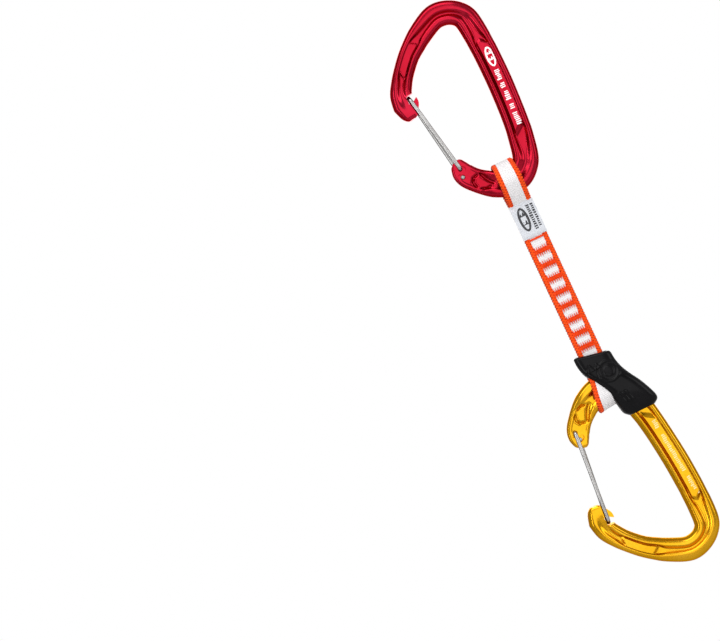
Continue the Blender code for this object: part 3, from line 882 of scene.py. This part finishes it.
def peaks(cx, cz, size):
    """Two plain triangles side by side, like mountain peaks."""
    return [[(cx - size, cz - size * 0.6), (cx - size * 0.1, cz - size * 0.6),
             (cx - size * 0.5, cz + size * 0.5)],
            [(cx - size * 0.25, cz - size * 0.6), (cx + size, cz - size * 0.6),
             (cx + size * 0.35, cz + size * 0.9)]]


def icon(oval, summits):
    """Generic icon: an oval ring with peaks in it."""
    shapes = ring_band(*oval)
    for place in summits:
        shapes += peaks(*place)
    return shapes


def build_label_print(mat):
    """Oval icon with peaks and two columns of plain dashes."""
    rng = random.Random(7)
    bm = bmesh.new()
    shapes = icon(LABEL_OVAL, LABEL_PEAKS)
    for x, half_w in DASH_COLUMNS:
        z = DASH_SPAN[0]
        while z > DASH_SPAN[1]:
            tall = rng.uniform(0.26, 0.46)
            shapes.append(bar(x + rng.uniform(-0.1, 0.1), z - tall,
                              half_w * rng.uniform(0.8, 1.1), tall))
            z -= 2 * tall + rng.uniform(0.26, 0.44)
    for outline in shapes:
        plate(bm, outline, label_y)
    obj = finish_mesh("label_print", bm, [mat])
    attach(obj, "sling")


# ---- keeper ----
def embossed_boss(x, z):
    """A domed boss inside a ring."""
    r = dist((x, z), BOSS)
    radius, half_width, height = BOSS_RING
    ring = height * exp(-((r - radius) / half_width) ** 2)
    radius, fade, height = BOSS_DOME
    return ring + height * smoothstep((radius - r) / fade)


def embossed_peaks(x, z):
    """Two plain triangles."""
    slope, fade, height = PEAK_SHAPE
    best = 0.0
    for px, pz, size in EMBOSSED_PEAKS:
        drop = (pz - z) / size
        if 0.0 <= drop <= 1.0:
            inside = drop * slope * size - abs(x - px)
            best = max(best, height * smoothstep(inside / fade))
    return best


def embossed_ribs(x, z):
    """A row of slanted ribs."""
    lean, pitch, half_width, height = RIB_SHAPE
    low, high, fade = RIB_SPAN
    ribs = 0.0
    for k in range(RIB_COUNT):
        off = x + lean * (z - RIB_START[1]) - RIB_START[0] - pitch * k
        ribs += height * exp(-(off / half_width) ** 2)
    return ribs * smoothstep((z - low) / fade) * smoothstep((high - z) / fade)


def emboss(x, z):
    """Height of the generic moulded pattern on the keeper's front."""
    return embossed_boss(x, z) + embossed_peaks(x, z) + embossed_ribs(x, z)


def keeper_ring(row, inset=0.0, rise=0.0):
    """Section of the keeper; an inset section is smaller and has no pattern."""
    xl, zl, xr, zr, half = row
    dense = []
    for k in range(KEEPER_DENSE + 1):
        a = 2 * pi * k / KEEPER_DENSE
        px, py = (copysign(abs(q) ** KEEPER_SQUARE, q) for q in (cos(a), sin(a)))
        t = (px * (1 - inset / KEEPER_HALF_W) + 1) / 2
        dense.append((mix(xl, xr, t), py * (half - inset), mix(zl, zr, t), py))
    ring = []
    for x, y, z, py in resample(dense, count=KEEPER_POINTS)[:-1]:
        if y < 0 and not inset:
            y -= emboss(x, z) * smoothstep(abs(py) * 5 - 4)
        ring.append((x, y, z + rise))
    return ring


def build_keeper(mat):
    """Rubber sleeve over the sling's end, open-looking at both mouths."""
    rows = resample(catmull(KEEPER, KEEPER_SPANS), KEEPER_STEP, dims=4)
    rings = [keeper_ring(rows[0], *lip) for lip in TOP_MOUTH]
    rings += [keeper_ring(row) for row in rows]
    rings += [keeper_ring(rows[-1], *lip) for lip in BOTTOM_MOUTH]
    bm = bmesh.new()
    skin(bm, rings)
    obj = finish_mesh("keeper_sleeve", bm, [mat], sharp_deg=60)
    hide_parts("rubber_keeper")
    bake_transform(obj)


# ---- marks on the spines ----
def mark_bars(groups, half_w):
    """Groups of plain bars of uneven height and width."""
    rng = random.Random(21)
    shapes = []
    for start, stop in groups:
        v = start
        while v > stop + 0.3:
            tall = rng.uniform(0.20, 0.34)
            wide = half_w * rng.uniform(0.8, 1.2)
            shapes.append(bar(MARK_U + rng.uniform(-0.2, 0.2), v - tall, wide, tall))
            v -= 2 * tall + rng.uniform(0.28, 0.42)
    return shapes


def build_marks(name, place, body, mat, face, shapes):
    """Printed or etched shapes on the spine's raised pad; face is 1 or -1."""
    height = face * (SPINE_HALF - PAD_DEPTH + MARK_LIFT)
    bm = bmesh.new()
    for outline in shapes:
        bm.faces.new([bm.verts.new(place(u, v, height)) for u, v in outline])
    obj = finish_mesh(name, bm, [mat])
    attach(obj, body)


# ---- materials ----
class Nodes:
    """Small helper round one material's node tree."""

    def __init__(self, name):
        self.mat = bpy.data.materials.new(name)
        self.mat.use_nodes = True
        self.tree = self.mat.node_tree
        self.shader = self.tree.nodes["Principled BSDF"]

    def add(self, kind, sockets=(), **settings):
        """New node with values on some of its input sockets."""
        node = self.tree.nodes.new("ShaderNode" + kind)
        for key, value in settings.items():
            setattr(node, key, value)
        for name, value in sockets:
            node.inputs[name].default_value = value
        return node

    def link(self, source, target):
        self.tree.links.new(source, target)

    def math(self, operation, a, b):
        node = self.add("Math", operation=operation)
        for socket, value in zip(node.inputs, (a, b)):
            if isinstance(value, (int, float)):
                socket.default_value = value
            else:
                self.link(value, socket)
        return node.outputs[0]

    def coords(self, scale):
        """Object coordinates stretched by scale, per axis, in repeats a metre."""
        spot = self.add("TexCoord")
        mapping = self.add("Mapping", [("Scale", scale)])
        self.link(spot.outputs["Object"], mapping.inputs["Vector"])
        return mapping.outputs[0]

    def noise(self, scale, detail, rough=0.5):
        node = self.add("TexNoise", [("Scale", 1.0), ("Detail", detail), ("Roughness", rough)])
        self.link(self.coords(scale), node.inputs["Vector"])
        return node.outputs["Fac"]

    def ramp(self, source, places, colours):
        """Colours at places along a value from 0 to 1."""
        node = self.add("ValToRGB")
        ramp = node.color_ramp
        while len(ramp.elements) < len(places):
            ramp.elements.new(0.5)
        for element, place, colour in zip(ramp.elements, places, colours):
            element.position = place
            element.color = (*colour, 1.0)
        self.link(source, node.inputs["Fac"])
        return node.outputs["Color"]

    def span(self, source, low, high):
        """A noise's usual range stretched to run from low to high."""
        node = self.add("MapRange", [("From Min", NOISE_SPAN[0]), ("From Max", NOISE_SPAN[1]),
                                     ("To Min", low), ("To Max", high)])
        self.link(source, node.inputs["Value"])
        return node.outputs[0]

    def bump(self, height, distance, strength, under=None):
        node = self.add("Bump", [("Strength", strength), ("Distance", distance)])
        self.link(height, node.inputs["Height"])
        if under is not None:
            self.link(under, node.inputs["Normal"])
        return node.outputs["Normal"]

    def set(self, **values):
        for key, value in values.items():
            title = key.replace("_", " ").title().replace("Ior", "IOR")
            socket = self.shader.inputs[title]
            if isinstance(value, (int, float, tuple)):
                socket.default_value = value
            else:
                self.link(value, socket)


def anodised(name, dark, main, light, edge):
    """Bright-dipped anodised aluminium: fine drawn grain, dye variation, rubbed spots."""
    n = Nodes(name)
    cloud = n.noise((60, 60, 60), 3.0)
    colour = n.ramp(cloud, (0.25, 0.5, 0.8), (dark, main, light))
    fine = n.noise((900, 900, 900), 3.0, 0.6)
    rough = n.span(fine, 0.16, 0.27)
    grain = n.noise((2600, 2600, 180), 2.0)
    scuff = n.noise((260, 260, 2400), 2.0, 0.7)
    normal = n.bump(scuff, POLISH_BUMP, 0.2, n.bump(grain, POLISH_BUMP, 0.2))
    n.set(base_color=colour, metallic=1.0, roughness=rough, normal=normal,
          specular_tint=(*edge, 1.0), coat_weight=0.03, coat_roughness=0.15, coat_ior=1.5)
    return n.mat


def steel():
    """Drawn stainless wire with streaks along it."""
    n = Nodes("stainless_wire")
    cloud = n.noise((300, 300, 60), 3.0)
    colour = n.ramp(cloud, (0.2, 0.8), STEEL)
    streak = n.noise((3000, 3000, 60), 3.0)
    n.set(base_color=colour, metallic=1.0, roughness=n.span(streak, 0.16, 0.34),
          normal=n.bump(streak, POLISH_BUMP, 0.2))
    return n.mat


def weave_height(n, across, along):
    """Plain-weave height from the piece's own weave coordinates, in millimetres."""
    uv = n.add("UVMap", uv_map="weave")
    split = n.add("SeparateXYZ")
    n.link(uv.outputs[0], split.inputs[0])
    waves = [n.math("SINE", n.math("MULTIPLY", split.outputs[k], 2 * pi / pitch), 0.0)
             for k, pitch in ((0, across), (1, along))]
    return n.math("ADD", n.math("MULTIPLY", n.math("MULTIPLY", *waves), 0.5), 0.5)


def fabric(name, shade, main, across, along, depth):
    """Woven fabric: plain weave with painted shade in its low yarns, yarn-to-yarn colour changes
    and a soft sheen.
    """
    n = Nodes(name)
    weave = weave_height(n, across, along)
    yarn = n.noise((500, 500, 2500), 3.0, 0.6)
    # Painted shade: the weave's low yarns take the darker colour, mixed with random yarn tone.
    weave_shade_and_yarn_tone = n.math("ADD", n.math("MULTIPLY", weave, 0.6), n.math("MULTIPLY", yarn, 0.4))
    colour = n.ramp(weave_shade_and_yarn_tone, (0.15, 0.62), (shade, main))
    fibre = n.noise((6000, 6000, 6000), 3.0, 0.7)
    normal = n.bump(fibre, 0.00004, 0.5, n.bump(weave, depth, 0.8))
    n.set(base_color=colour, roughness=n.span(yarn, 0.72, 0.9), normal=normal,
          sheen_weight=0.08, sheen_roughness=0.5, specular_ior_level=0.12)
    return n.mat


def thread_material():
    """Twisted orange sewing thread."""
    n = Nodes("orange_thread")
    ply = n.noise((2500, 2500, 5200), 3.0, 0.6)
    colour = n.ramp(ply, (0.25, 0.6, 0.85), THREAD_ORANGE)
    n.set(base_color=colour, roughness=n.span(ply, 0.55, 0.8),
          normal=n.bump(ply, 0.00005, 0.6), sheen_weight=0.05, sheen_roughness=0.4,
          specular_ior_level=0.15)
    return n.mat


def rubber():
    """Satin moulded rubber: fine spark texture and dusty handling marks."""
    n = Nodes("black_rubber")
    dust = n.noise((110, 110, 110), 5.0, 0.6)
    colour = n.ramp(dust, (0.3, 0.75), RUBBER)
    spark = n.noise((3500, 3500, 3500), 2.0)
    n.set(base_color=colour, roughness=n.span(dust, 0.14, 0.26),
          normal=n.bump(spark, 0.00001, 0.4), specular_ior_level=0.08)
    return n.mat


def ink(name, thin, full, metal=0.0):
    """Printed or etched mark, a little uneven."""
    n = Nodes(name)
    wear = n.noise((1300, 1300, 1300), 4.0, 0.6)
    colour = n.ramp(wear, (0.3, 0.55), (thin, full))
    n.set(base_color=colour, roughness=n.span(wear, 0.4, 0.6), metallic=metal,
          normal=n.bump(wear, 0.00002, 0.4))
    return n.mat


def floor_material():
    """Pale, faintly mottled studio floor."""
    n = Nodes("pale_floor")
    mottle = n.noise((9, 9, 9), 4.0)
    colour = n.ramp(mottle, (0.2, 0.8), FLOOR_WHITE)
    n.set(base_color=colour, roughness=n.span(mottle, 0.55, 0.7))
    return n.mat


# ---- stage ----
def build_camera():
    """Camera square to the front, rolled to the photograph's angle."""
    roll = radians(VIEW_ROLL)
    right = Vector((cos(roll), 0, -sin(roll)))
    up = Vector((sin(roll), 0, cos(roll)))
    back = Vector((0, -1, 0))
    centre = Vector(VIEW_CENTRE) * MM
    data = bpy.data.cameras.new("camera")
    data.sensor_width = SENSOR
    data.lens = SENSOR * VIEW_DISTANCE / VIEW_WIDTH
    cam = bpy.data.objects.new("camera", data)
    rotation = Matrix((right, up, back)).transposed().to_4x4()
    cam.matrix_world = Matrix.Translation(centre + back * VIEW_DISTANCE * MM) @ rotation
    bpy.context.scene.collection.objects.link(cam)
    bpy.context.scene.camera = cam


def softbox(name, place, size, power):
    """Area light aimed at the middle of the object."""
    data = bpy.data.lights.new(name, "AREA")
    data.shape = "RECTANGLE"
    data.size, data.size_y = size
    data.energy = power
    lamp = bpy.data.objects.new(name, data)
    lamp.location = place
    lamp.visible_camera = False
    aim = Vector(LIGHT_TARGET) - Vector(place)
    lamp.rotation_euler = aim.to_track_quat("-Z", "Y").to_euler()
    bpy.context.scene.collection.objects.link(lamp)


def build_world():
    """White to the eye, grey in reflections and dimmer grey as light on the object."""
    world = bpy.data.worlds.new("studio")
    world.use_nodes = True
    tree = world.node_tree
    path = tree.nodes.new("ShaderNodeLightPath")
    shade = tree.nodes["Background"]
    shade.inputs["Color"].default_value = (1, 1, 1, 1)
    shade.inputs["Strength"].default_value = WORLD_LIGHT
    for ray, strength in (("Is Glossy Ray", WORLD_MIRRORED), ("Is Camera Ray", WORLD_SEEN)):
        other = tree.nodes.new("ShaderNodeBackground")
        other.inputs["Color"].default_value = (1, 1, 1, 1)
        other.inputs["Strength"].default_value = strength
        blend = tree.nodes.new("ShaderNodeMixShader")
        tree.links.new(path.outputs[ray], blend.inputs[0])
        tree.links.new(shade.outputs[0], blend.inputs[1])
        tree.links.new(other.outputs[0], blend.inputs[2])
        shade = blend
    tree.links.new(shade.outputs[0], tree.nodes["World Output"].inputs["Surface"])
    bpy.context.scene.world = world


def build_floor():
    """Plain round floor below the hanging object."""
    bm = bmesh.new()
    bmesh.ops.create_circle(bm, cap_ends=True, segments=96, radius=FLOOR_RADIUS)
    bmesh.ops.translate(bm, vec=(0, 0, FLOOR_Z), verts=bm.verts)
    floor = finish_mesh("floor", bm, [floor_material()])


def build_stage():
    """World, lights, floor and camera."""
    build_world()
    for lamp in SOFTBOXES:
        softbox(*lamp)
    build_floor()
    build_camera()
    bpy.context.scene.view_settings.view_transform = "Standard"


# ---- assembly ----
def build_carabiners(red, gold, wire):
    """Both bodies, then both gates."""
    build_carabiner("top_carabiner", top_frame, "top_carabiner",
                    "top_carabiner_body", red)
    build_carabiner("bottom_carabiner", bottom_frame, "bottom_carabiner",
                    "bottom_carabiner_body", gold)
    build_gate("top_gate_wire", top_frame, "top_gate", "top_wire_gate", wire)
    build_gate("bottom_gate_wire", bottom_frame, "bottom_gate", "bottom_wire_gate", wire)


def build_spine_marks():
    """White marks on the upper spine and pale etched ones on the lower."""
    build_marks("top_spine_marks", top_frame, "top_carabiner",
                ink("white_ink", *WHITE_INK), -1,
                icon(MARK_OVAL, MARK_PEAKS) + mark_bars(TOP_MARKS, TOP_MARK_HALF_W))
    build_marks("bottom_spine_marks", bottom_frame, "bottom_carabiner",
                ink("pale_etch", *PALE_ETCH, 0.3), 1,
                mark_bars(BOTTOM_MARKS, BOTTOM_MARK_HALF_W))


def build_sling(white, orange, thread, cloth):
    """Tape, tacks, label and the label's print."""
    build_webbing(white, orange)
    for number, (z, length) in enumerate(TACKS, 1):
        build_tack(number, z, length, thread)
    build_label(cloth)
    build_label_print(ink("grey_ink", *GREY_INK))


def build():
    """Materials first, then every piece and the stage."""
    red = anodised("red_anodised", *RED)
    gold = anodised("gold_anodised", *GOLD)
    wire = steel()
    white = fabric("white_tape", *TAPE_WHITE, *TAPE_WEAVE)
    orange = fabric("orange_selvedge", *TAPE_ORANGE, *SELVEDGE_WEAVE)
    cloth = fabric("label_cloth", *LABEL_GREY, *LABEL_WEAVE)
    thread, black = thread_material(), rubber()
    build_carabiners(red, gold, wire)
    build_spine_marks()
    build_sling(white, orange, thread, cloth)
    build_keeper(black)
    build_stage()


build()
